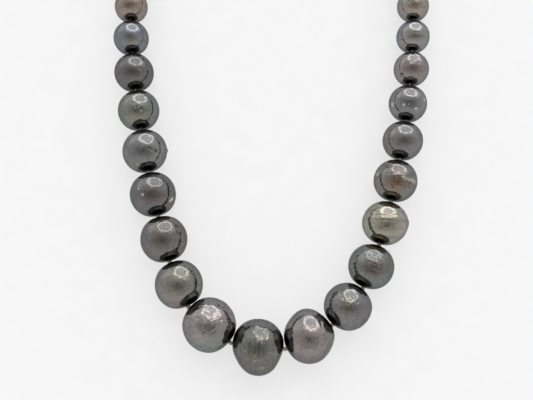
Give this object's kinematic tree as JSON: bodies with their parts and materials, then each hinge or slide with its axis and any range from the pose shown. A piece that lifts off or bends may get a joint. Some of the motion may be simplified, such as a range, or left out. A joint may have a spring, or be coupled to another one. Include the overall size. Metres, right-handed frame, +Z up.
{
  "type": "pearl necklace",
  "caption": "Graduated strand of dark baroque-tinged cultured pearls, knotted on silk and closed by a ball-shaped magnetic clasp, lying flat in a long loop.",
  "frame": {"origin": "centre of the loop's outline, on the surface it lies on", "axes": "+Z up from that surface, +Y from the front pearl to the clasp, +X toward the right arm"},
  "size_m": [0.0828, 0.184, 0.0127],
  "materials": {
    "pearl_grey": "gloss",
    "pearl_green": "gloss",
    "pearl_aubergine": "gloss",
    "pearl_blue": "gloss",
    "pearl_bronze": "gloss",
    "pearl_khaki": "gloss",
    "silk": "matte",
    "silver": "polished",
    "bullion": "gloss",
    "magnet": "satin"
  },
  "bodies": {
    "front_pearl": {"front_pearl": "pearl_green"},
    "left_pearl_01": {"left_pearl_01": "pearl_aubergine"},
    "left_pearl_02": {"left_pearl_02": "pearl_green"},
    "left_pearl_03": {"left_pearl_03": "pearl_bronze"},
    "left_silk_04": {"left_silk_04": "silk"},
    "left_pearl_04": {"left_pearl_04": "pearl_grey"},
    "left_pearl_05": {"left_pearl_05": "pearl_grey"},
    "left_pearl_06": {"left_pearl_06": "pearl_green"},
    "left_pearl_07": {"left_pearl_07": "pearl_grey"},
    "left_silk_08": {"left_silk_08": "silk"},
    "left_pearl_08": {"left_pearl_08": "pearl_blue"},
    "left_pearl_09": {"left_pearl_09": "pearl_bronze"},
    "left_pearl_10": {"left_pearl_10": "pearl_green"},
    "left_pearl_11": {"left_pearl_11": "pearl_grey"},
    "left_silk_12": {"left_silk_12": "silk"},
    "left_pearl_12": {"left_pearl_12": "pearl_aubergine"},
    "left_pearl_13": {"left_pearl_13": "pearl_blue"},
    "left_pearl_14": {"left_pearl_14": "pearl_grey"},
    "left_pearl_15": {"left_pearl_15": "pearl_bronze"},
    "left_silk_16": {"left_silk_16": "silk"},
    "left_pearl_16": {"left_pearl_16": "pearl_green"},
    "left_pearl_17": {"left_pearl_17": "pearl_khaki"},
    "left_pearl_18": {"left_pearl_18": "pearl_grey"},
    "left_pearl_19": {"left_pearl_19": "pearl_blue"},
    "left_pearl_20": {"left_pearl_20": "pearl_aubergine"},
    "left_bullion_loop": {"left_bullion_loop": "bullion"},
    "left_clasp": {"left_clasp_ball": "silver", "left_clasp_magnet": "magnet", "left_clasp_eyelet": "silver"},
    "right_pearl_01": {"right_pearl_01": "pearl_aubergine"},
    "right_pearl_02": {"right_pearl_02": "pearl_grey"},
    "right_pearl_03": {"right_pearl_03": "pearl_green"},
    "right_silk_04": {"right_silk_04": "silk"},
    "right_pearl_04": {"right_pearl_04": "pearl_khaki"},
    "right_pearl_05": {"right_pearl_05": "pearl_bronze"},
    "right_pearl_06": {"right_pearl_06": "pearl_grey"},
    "right_pearl_07": {"right_pearl_07": "pearl_grey"},
    "right_silk_08": {"right_silk_08": "silk"},
    "right_pearl_08": {"right_pearl_08": "pearl_aubergine"},
    "right_pearl_09": {"right_pearl_09": "pearl_blue"},
    "right_pearl_10": {"right_pearl_10": "pearl_bronze"},
    "right_pearl_11": {"right_pearl_11": "pearl_grey"},
    "right_silk_12": {"right_silk_12": "silk"},
    "right_pearl_12": {"right_pearl_12": "pearl_green"},
    "right_pearl_13": {"right_pearl_13": "pearl_blue"},
    "right_pearl_14": {"right_pearl_14": "pearl_aubergine"},
    "right_pearl_15": {"right_pearl_15": "pearl_bronze"},
    "right_silk_16": {"right_silk_16": "silk"},
    "right_pearl_16": {"right_pearl_16": "pearl_grey"},
    "right_pearl_17": {"right_pearl_17": "pearl_green"},
    "right_pearl_18": {"right_pearl_18": "pearl_khaki"},
    "right_pearl_19": {"right_pearl_19": "pearl_blue"},
    "right_pearl_20": {"right_pearl_20": "pearl_grey"},
    "right_pearl_21": {"right_pearl_21": "pearl_green"},
    "right_bullion_loop": {"right_bullion_loop": "bullion"},
    "right_clasp": {"right_clasp_ball": "silver", "right_clasp_magnet": "magnet", "right_clasp_eyelet": "silver"}
  },
  "joints": [
    {"name": "knot_left_01_bend", "type": "hinge", "parent": "front_pearl", "child": "left_pearl_01", "pos_m": [-0.00997, -0.08504, 0.00647], "axis": [0, 0, 1], "range_deg": [0, 48]},
    {"name": "knot_left_02_bend", "type": "hinge", "parent": "left_pearl_01", "child": "left_pearl_02", "pos_m": [-0.01998, -0.07679, 0.00622], "axis": [0, 0, 1], "range_deg": [0, 41]},
    {"name": "knot_left_03_bend", "type": "hinge", "parent": "left_pearl_02", "child": "left_pearl_03", "pos_m": [-0.02484, -0.06613, 0.0059], "axis": [0, 0, 1], "range_deg": [0, 24]},
    {"name": "knot_left_04_bend", "type": "hinge", "parent": "left_pearl_03", "child": "left_silk_04", "pos_m": [-0.02794, -0.05495, 0.00583], "axis": [0, 0, 1], "range_deg": [0, 16]},
    {"name": "pearl_left_04_turn", "type": "hinge", "parent": "left_silk_04", "child": "left_pearl_04", "pos_m": [-0.02937, -0.04942, 0.00577], "axis": [-0.2504, 0.9681, -0.0088], "range_deg": [-180, 180]},
    {"name": "knot_left_05_lift", "type": "hinge", "parent": "left_silk_04", "child": "left_pearl_05", "pos_m": [-0.0308, -0.0439, 0.00573], "axis": [1, 0, 0], "range_deg": [0, 25]},
    {"name": "knot_left_06_bend", "type": "hinge", "parent": "left_pearl_05", "child": "left_pearl_06", "pos_m": [-0.03294, -0.03288, 0.00553], "axis": [0, 0, 1], "range_deg": [0, 16.5]},
    {"name": "knot_left_07_bend", "type": "hinge", "parent": "left_pearl_06", "child": "left_pearl_07", "pos_m": [-0.0347, -0.02239, 0.00528], "axis": [0, 0, 1], "range_deg": [0, 16]},
    {"name": "knot_left_08_bend", "type": "hinge", "parent": "left_pearl_07", "child": "left_silk_08", "pos_m": [-0.03621, -0.01226, 0.00492], "axis": [0, 0, 1], "range_deg": [0, 17.5]},
    {"name": "pearl_left_08_turn", "type": "hinge", "parent": "left_silk_08", "child": "left_pearl_08", "pos_m": [-0.0367, -0.00764, 0.00475], "axis": [-0.1045, 0.9938, -0.0377], "range_deg": [-180, 180]},
    {"name": "knot_left_09_lift", "type": "hinge", "parent": "left_silk_08", "child": "left_pearl_09", "pos_m": [-0.03718, -0.00303, 0.00458], "axis": [1, 0, 0], "range_deg": [0, 25]},
    {"name": "knot_left_10_bend", "type": "hinge", "parent": "left_pearl_09", "child": "left_pearl_10", "pos_m": [-0.03703, 0.00586, 0.00443], "axis": [0, 0, 1], "range_deg": [0, 15]},
    {"name": "knot_left_11_bend", "type": "hinge", "parent": "left_pearl_10", "child": "left_pearl_11", "pos_m": [-0.03687, 0.01456, 0.00435], "axis": [0, 0, 1], "range_deg": [0, 15.14]},
    {"name": "knot_left_12_bend", "type": "hinge", "parent": "left_pearl_11", "child": "left_silk_12", "pos_m": [-0.0367, 0.02316, 0.00432], "axis": [0, 0, 1], "range_deg": [0, 15.58]},
    {"name": "pearl_left_12_turn", "type": "hinge", "parent": "left_silk_12", "child": "left_pearl_12", "pos_m": [-0.03657, 0.02746, 0.00431], "axis": [0.0301, 0.9995, -0.0029], "range_deg": [-180, 180]},
    {"name": "knot_left_13_lift", "type": "hinge", "parent": "left_silk_12", "child": "left_pearl_13", "pos_m": [-0.03644, 0.03176, 0.0043], "axis": [1, 0, 0], "range_deg": [0, 25]},
    {"name": "knot_left_14_bend", "type": "hinge", "parent": "left_pearl_13", "child": "left_pearl_14", "pos_m": [-0.03599, 0.04025, 0.00428], "axis": [0, 0, 1], "range_deg": [0, 17.32]},
    {"name": "knot_left_15_bend", "type": "hinge", "parent": "left_pearl_14", "child": "left_pearl_15", "pos_m": [-0.0352, 0.04872, 0.00425], "axis": [0, 0, 1], "range_deg": [0, 18.62]},
    {"name": "knot_left_16_bend", "type": "hinge", "parent": "left_pearl_15", "child": "left_silk_16", "pos_m": [-0.03389, 0.05702, 0.00422], "axis": [0, 0, 1], "range_deg": [0, 20.22]},
    {"name": "pearl_left_16_turn", "type": "hinge", "parent": "left_silk_16", "child": "left_pearl_16", "pos_m": [-0.03286, 0.0611, 0.00421], "axis": [0.2452, 0.9695, -0.003], "range_deg": [-180, 180]},
    {"name": "knot_left_17_lift", "type": "hinge", "parent": "left_silk_16", "child": "left_pearl_17", "pos_m": [-0.03183, 0.06517, 0.0042], "axis": [1, 0, 0], "range_deg": [0, 25]},
    {"name": "knot_left_18_bend", "type": "hinge", "parent": "left_pearl_17", "child": "left_pearl_18", "pos_m": [-0.02881, 0.07291, 0.00417], "axis": [0, 0, 1], "range_deg": [0, 24.28]},
    {"name": "knot_left_19_bend", "type": "hinge", "parent": "left_pearl_18", "child": "left_pearl_19", "pos_m": [-0.02458, 0.08007, 0.00417], "axis": [0, 0, 1], "range_deg": [0, 32.14]},
    {"name": "knot_left_20_bend", "type": "hinge", "parent": "left_pearl_19", "child": "left_pearl_20", "pos_m": [-0.01843, 0.08566, 0.00417], "axis": [0, 0, 1], "range_deg": [0, 40.73]},
    {"name": "knot_left_21_bend", "type": "hinge", "parent": "left_pearl_20", "child": "left_bullion_loop", "pos_m": [-0.01047, 0.08803, 0.00417], "axis": [0, 0, 1], "range_deg": [0, 31.55]},
    {"name": "tilt_clasp_left", "type": "hinge", "parent": "left_bullion_loop", "child": "left_clasp", "pos_m": [-0.00751, 0.08803, 0.00417], "axis": [0, 1, 0], "range_deg": [-25, 25]},
    {"name": "knot_right_01_bend", "type": "hinge", "parent": "front_pearl", "child": "right_pearl_01", "pos_m": [0.00285, -0.0865, 0.0063], "axis": [0, 0, 1], "range_deg": [-48, 0]},
    {"name": "knot_right_02_bend", "type": "hinge", "parent": "right_pearl_01", "child": "right_pearl_02", "pos_m": [0.01385, -0.08102, 0.006], "axis": [0, 0, 1], "range_deg": [-37.5, 0]},
    {"name": "knot_right_03_bend", "type": "hinge", "parent": "right_pearl_02", "child": "right_pearl_03", "pos_m": [0.0214, -0.07233, 0.00575], "axis": [0, 0, 1], "range_deg": [-34, 0]},
    {"name": "knot_right_04_bend", "type": "hinge", "parent": "right_pearl_03", "child": "right_silk_04", "pos_m": [0.0256, -0.06193, 0.00568], "axis": [0, 0, 1], "range_deg": [-20, 0]},
    {"name": "pearl_right_04_turn", "type": "hinge", "parent": "right_silk_04", "child": "right_pearl_04", "pos_m": [0.02724, -0.05656, 0.00564], "axis": [0.2924, 0.9563, -0.0067], "range_deg": [-180, 180]},
    {"name": "knot_right_05_lift", "type": "hinge", "parent": "right_silk_04", "child": "right_pearl_05", "pos_m": [0.02888, -0.0512, 0.0056], "axis": [1, 0, 0], "range_deg": [0, 25]},
    {"name": "knot_right_06_bend", "type": "hinge", "parent": "right_pearl_05", "child": "right_pearl_06", "pos_m": [0.03153, -0.04059, 0.00535], "axis": [0, 0, 1], "range_deg": [-18, 0]},
    {"name": "knot_right_07_bend", "type": "hinge", "parent": "right_pearl_06", "child": "right_pearl_07", "pos_m": [0.03348, -0.03053, 0.00507], "axis": [0, 0, 1], "range_deg": [-17, 0]},
    {"name": "knot_right_08_bend", "type": "hinge", "parent": "right_pearl_07", "child": "right_silk_08", "pos_m": [0.03503, -0.02079, 0.00483], "axis": [0, 0, 1], "range_deg": [-17, 0]},
    {"name": "pearl_right_08_turn", "type": "hinge", "parent": "right_silk_08", "child": "right_pearl_08", "pos_m": [0.03559, -0.01619, 0.0047], "axis": [0.1218, 0.9922, -0.0269], "range_deg": [-180, 180]},
    {"name": "knot_right_09_lift", "type": "hinge", "parent": "right_silk_08", "child": "right_pearl_09", "pos_m": [0.03616, -0.01158, 0.00458], "axis": [1, 0, 0], "range_deg": [0, 25]},
    {"name": "knot_right_10_bend", "type": "hinge", "parent": "right_pearl_09", "child": "right_pearl_10", "pos_m": [0.03686, -0.00272, 0.0044], "axis": [0, 0, 1], "range_deg": [-18.5, 0]},
    {"name": "knot_right_11_bend", "type": "hinge", "parent": "right_pearl_10", "child": "right_pearl_11", "pos_m": [0.03701, 0.00588, 0.00432], "axis": [0, 0, 1], "range_deg": [-15, 0]},
    {"name": "knot_right_12_bend", "type": "hinge", "parent": "right_pearl_11", "child": "right_silk_12", "pos_m": [0.03716, 0.01448, 0.0043], "axis": [0, 0, 1], "range_deg": [-15.14, 0]},
    {"name": "pearl_right_12_turn", "type": "hinge", "parent": "right_silk_12", "child": "right_pearl_12", "pos_m": [0.03722, 0.01874, 0.00429], "axis": [0.0149, 0.9999, -0.0029], "range_deg": [-180, 180]},
    {"name": "knot_right_13_lift", "type": "hinge", "parent": "right_silk_12", "child": "right_pearl_13", "pos_m": [0.03728, 0.02299, 0.00428], "axis": [1, 0, 0], "range_deg": [0, 25]},
    {"name": "knot_right_14_bend", "type": "hinge", "parent": "right_pearl_13", "child": "right_pearl_14", "pos_m": [0.03732, 0.03149, 0.00425], "axis": [0, 0, 1], "range_deg": [-16.3, 0]},
    {"name": "knot_right_15_bend", "type": "hinge", "parent": "right_pearl_14", "child": "right_pearl_15", "pos_m": [0.03717, 0.0399, 0.00422], "axis": [0, 0, 1], "range_deg": [-17.32, 0]},
    {"name": "knot_right_16_bend", "type": "hinge", "parent": "right_pearl_15", "child": "right_silk_16", "pos_m": [0.03668, 0.04829, 0.0042], "axis": [0, 0, 1], "range_deg": [-18.62, 0]},
    {"name": "pearl_right_16_turn", "type": "hinge", "parent": "right_silk_16", "child": "right_pearl_16", "pos_m": [0.03618, 0.05241, 0.00419], "axis": [-0.1214, 0.9926, -0.003], "range_deg": [-180, 180]},
    {"name": "knot_right_17_lift", "type": "hinge", "parent": "right_silk_16", "child": "right_pearl_17", "pos_m": [0.03567, 0.05654, 0.00417], "axis": [1, 0, 0], "range_deg": [0, 25]},
    {"name": "knot_right_18_bend", "type": "hinge", "parent": "right_pearl_17", "child": "right_pearl_18", "pos_m": [0.03392, 0.06466, 0.00417], "axis": [0, 0, 1], "range_deg": [-22.11, 0]},
    {"name": "knot_right_19_bend", "type": "hinge", "parent": "right_pearl_18", "child": "right_pearl_19", "pos_m": [0.03117, 0.0725, 0.00417], "axis": [0, 0, 1], "range_deg": [-24.28, 0]},
    {"name": "knot_right_20_bend", "type": "hinge", "parent": "right_pearl_19", "child": "right_pearl_20", "pos_m": [0.02719, 0.0798, 0.00417], "axis": [0, 0, 1], "range_deg": [-31.32, 0]},
    {"name": "knot_right_21_bend", "type": "hinge", "parent": "right_pearl_20", "child": "right_pearl_21", "pos_m": [0.02133, 0.08569, 0.00417], "axis": [0, 0, 1], "range_deg": [-43.76, 0]},
    {"name": "knot_right_22_bend", "type": "hinge", "parent": "right_pearl_21", "child": "right_bullion_loop", "pos_m": [0.01335, 0.08803, 0.00417], "axis": [0, 0, 1], "range_deg": [-31.34, 0]},
    {"name": "tilt_clasp_right", "type": "hinge", "parent": "right_bullion_loop", "child": "right_clasp", "pos_m": [0.01039, 0.08803, 0.00417], "axis": [0, 1, 0], "range_deg": [-25, 25]}
  ]
}
